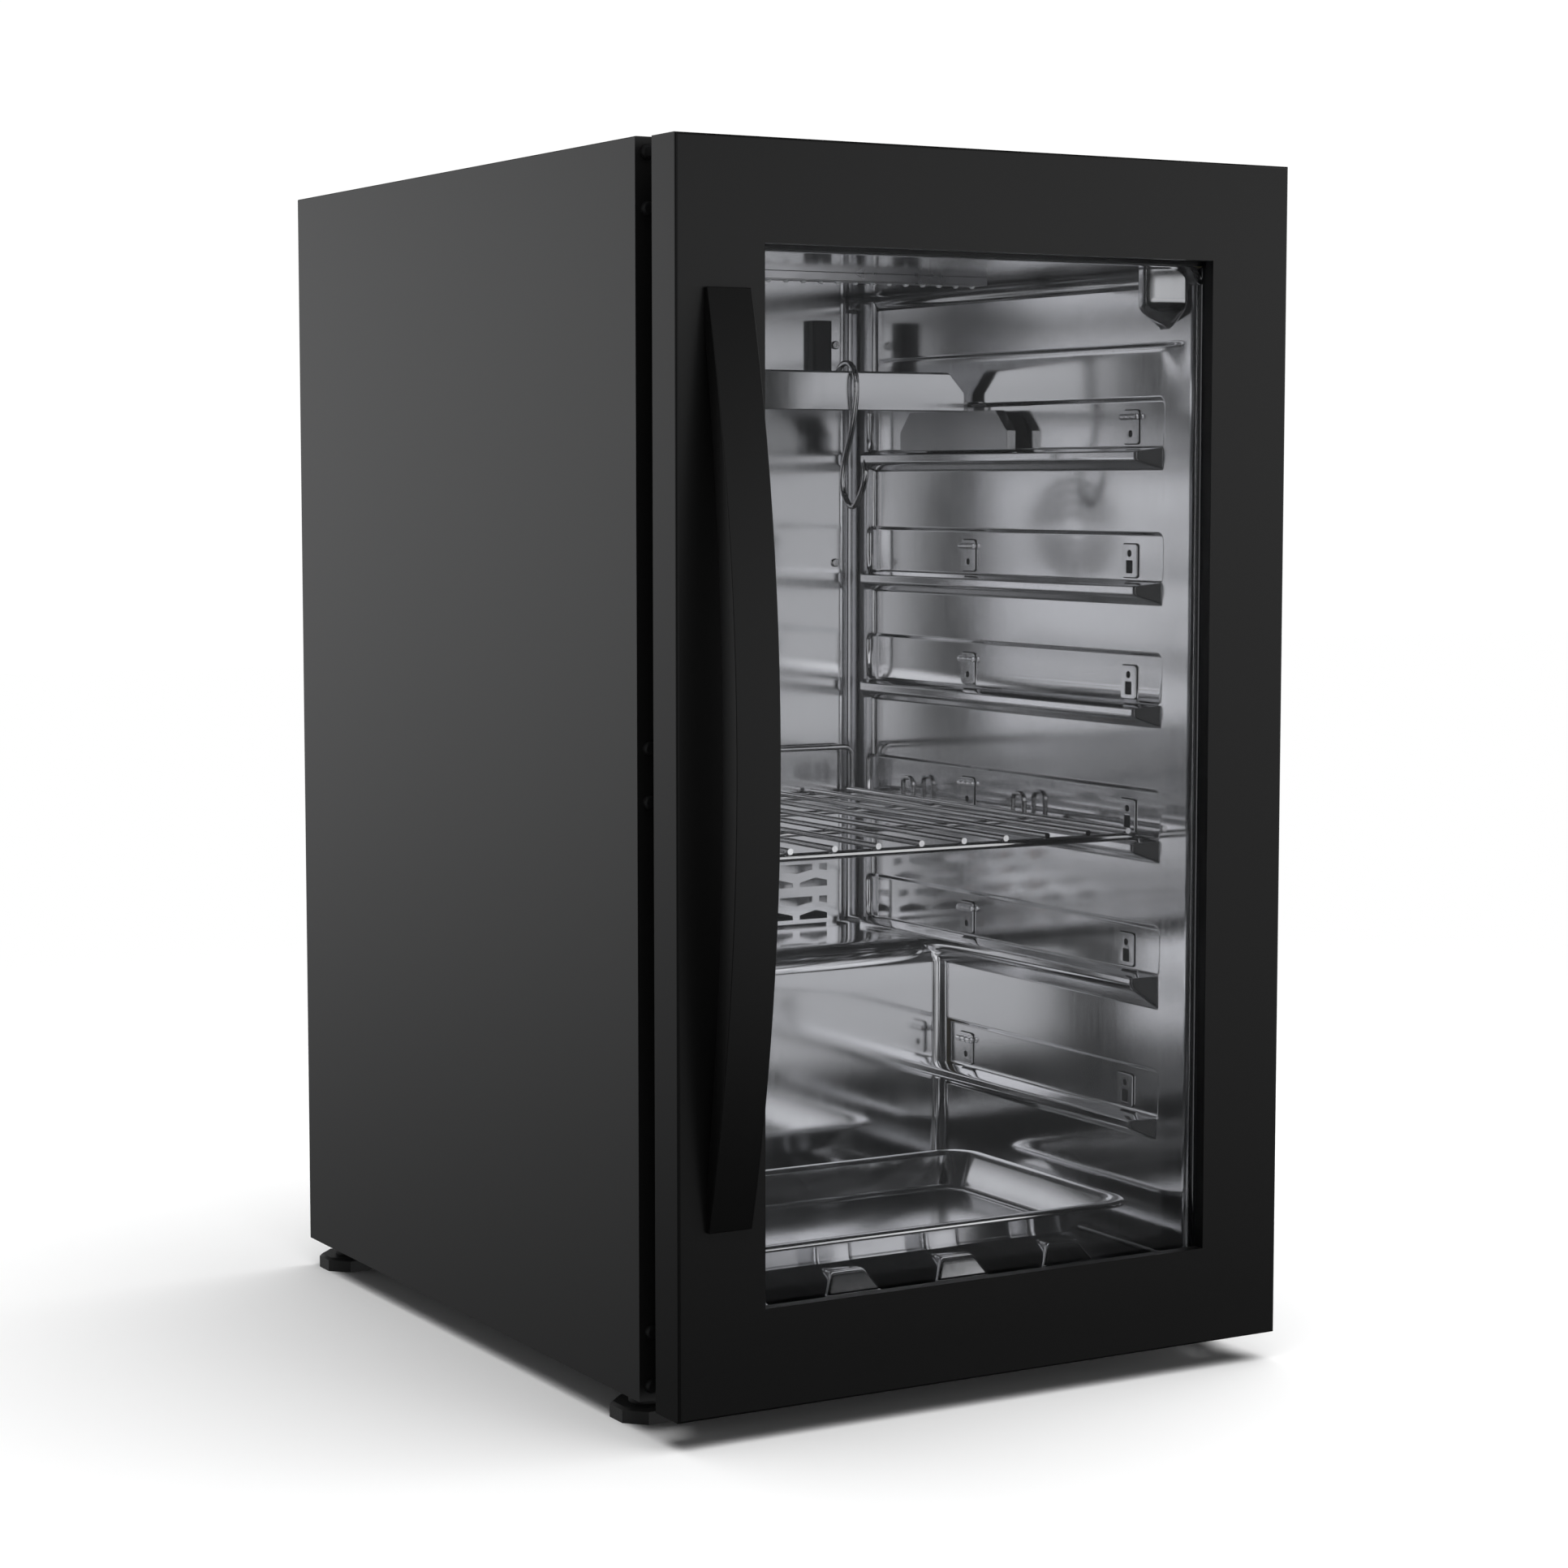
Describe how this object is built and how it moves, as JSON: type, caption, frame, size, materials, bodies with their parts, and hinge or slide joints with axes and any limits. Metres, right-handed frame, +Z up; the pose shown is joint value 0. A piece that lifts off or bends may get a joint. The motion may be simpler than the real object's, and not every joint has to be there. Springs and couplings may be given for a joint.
{
  "type": "glass-door refrigerated meat-ageing cabinet",
  "caption": "Upright black cabinet with a framed glass door, bowed pull handle, stainless lined chamber, wire shelf, drip tray, hanging bar with hook and a rear refrigeration compartment.",
  "frame": {"origin": "on the floor, under the middle of the whole footprint with the handle counted", "axes": "+Z up, the door faces -Y, +X towards the hinge side"},
  "size_m": [0.495, 0.6819, 0.8658],
  "materials": {
    "case_paint": "satin charcoal-black powder coat",
    "door_paint": "satin black powder coat",
    "galvanised_steel": "bare galvanised sheet",
    "black_plastic": "moulded matte black",
    "foot_plastic": "moulded black pad on a steel stud",
    "foam": "rigid polyurethane foam",
    "liner_steel": "satin-bright pressed stainless sheet",
    "duct_steel": "satin stainless sheet",
    "bright_steel": "bright stainless",
    "bracket_steel": "satin folded stainless",
    "polished_wire": "electropolished stainless wire",
    "screw_steel": "zinc-plated screws",
    "lamp_channel": "anodised channel",
    "lamp_lens": "opal diffuser",
    "glass_clear": "clear low-emissivity float glass",
    "spacer_black": "warm-edge spacer",
    "gasket_rubber": "soft black elastomer",
    "bush_nylon": "natural nylon",
    "coil_aluminium": "mill-finish tube and fin",
    "compressor_enamel": "black enamel",
    "copper_tube": "drawn copper"
  },
  "bodies": {
    "cabinet": {"outer_case": "case_paint", "back_panel": "case_paint", "compressor_cover": "case_paint", "hinge_brackets": "case_paint", "base_pan": "galvanised_steel", "machine_room_wall": "galvanised_steel", "foot_nuts": "galvanised_steel", "hinge_pins": "galvanised_steel", "compressor_bolts": "galvanised_steel", "front_frame": "black_plastic", "hole_plugs": "black_plastic", "sensor_cover": "black_plastic", "evaporator_fan_frame": "black_plastic", "condenser_fan_frame": "black_plastic", "control_box": "black_plastic", "power_inlet": "black_plastic", "start_relay": "black_plastic", "evaporation_pan": "black_plastic", "foam_insulation": "foam", "liner_side_right": "liner_steel", "liner_side_left": "liner_steel", "liner_wrap": "liner_steel", "duct_strips": "duct_steel", "duct_panel": "duct_steel", "hooked_clips": "bright_steel", "slotted_clips": "bright_steel", "duct_screws": "screw_steel", "rear_screws": "screw_steel", "hinge_screws": "screw_steel", "lamp_housing": "lamp_channel", "lamp_diffuser": "lamp_lens", "compressor_grommets": "gasket_rubber", "drain_tube": "bush_nylon", "evaporator_coil": "coil_aluminium", "condenser_coil": "coil_aluminium", "compressor": "compressor_enamel", "filter_drier": "copper_tube", "refrigerant_lines": "copper_tube"},
    "door": {"door_skin": "door_paint", "door_foam": "foam", "door_corner_blocks": "black_plastic", "hinge_bushes": "bush_nylon", "door_back_frame": "black_plastic", "glass_outer": "glass_clear", "glass_inner": "glass_clear", "glass_spacer": "spacer_black", "door_gasket": "gasket_rubber", "door_handle": "door_paint", "handle_screws": "screw_steel"},
    "evaporator_fan": {"evaporator_fan_rotor": "black_plastic"},
    "condenser_fan": {"condenser_fan_rotor": "black_plastic"},
    "hanging_rack": {"hanging_bar": "bright_steel", "bar_brackets": "bracket_steel"},
    "hook": {"s_hook": "polished_wire"},
    "shelf": {"wire_shelf": "polished_wire"},
    "tray": {"drip_tray": "bright_steel"},
    "foot_front_left": {"foot_front_left": "foot_plastic"},
    "foot_front_right": {"foot_front_right": "foot_plastic"},
    "foot_rear_left": {"foot_rear_left": "foot_plastic"},
    "foot_rear_right": {"foot_rear_right": "foot_plastic"}
  },
  "joints": [
    {"name": "door_hinge", "type": "hinge", "parent": "cabinet", "child": "door", "pos_m": [0.2335, -0.2827, 0.442], "axis": [0, 0, 1], "range_deg": [0, 110]},
    {"name": "evaporator_fan_spin", "type": "hinge", "parent": "cabinet", "child": "evaporator_fan", "pos_m": [0, 0.2515, 0.6], "axis": [0, 1, 0], "continuous": true},
    {"name": "condenser_fan_spin", "type": "hinge", "parent": "cabinet", "child": "condenser_fan", "pos_m": [-0.17, 0.243, 0.12], "axis": [1, 0, 0], "continuous": true},
    {"name": "rack_lift", "type": "slide", "parent": "cabinet", "child": "hanging_rack", "axis": [0, 0, 1], "range_m": [0, 0.03]},
    {"name": "hook_slide", "type": "slide", "parent": "hanging_rack", "child": "hook", "axis": [1, 0, 0], "range_m": [-0.29, 0.08]},
    {"name": "shelf_slide", "type": "slide", "parent": "cabinet", "child": "shelf", "axis": [0, -1, 0], "range_m": [0, 0.075]},
    {"name": "tray_slide", "type": "slide", "parent": "cabinet", "child": "tray", "axis": [0, -1, 0], "range_m": [0, 0.055]},
    {"name": "foot_front_left_height", "type": "slide", "parent": "cabinet", "child": "foot_front_left", "axis": [0, 0, -1], "range_m": [0, 0.01]},
    {"name": "foot_front_right_height", "type": "slide", "parent": "cabinet", "child": "foot_front_right", "axis": [0, 0, -1], "range_m": [0, 0.01]},
    {"name": "foot_rear_left_height", "type": "slide", "parent": "cabinet", "child": "foot_rear_left", "axis": [0, 0, -1], "range_m": [0, 0.01]},
    {"name": "foot_rear_right_height", "type": "slide", "parent": "cabinet", "child": "foot_rear_right", "axis": [0, 0, -1], "range_m": [0, 0.01]}
  ]
}
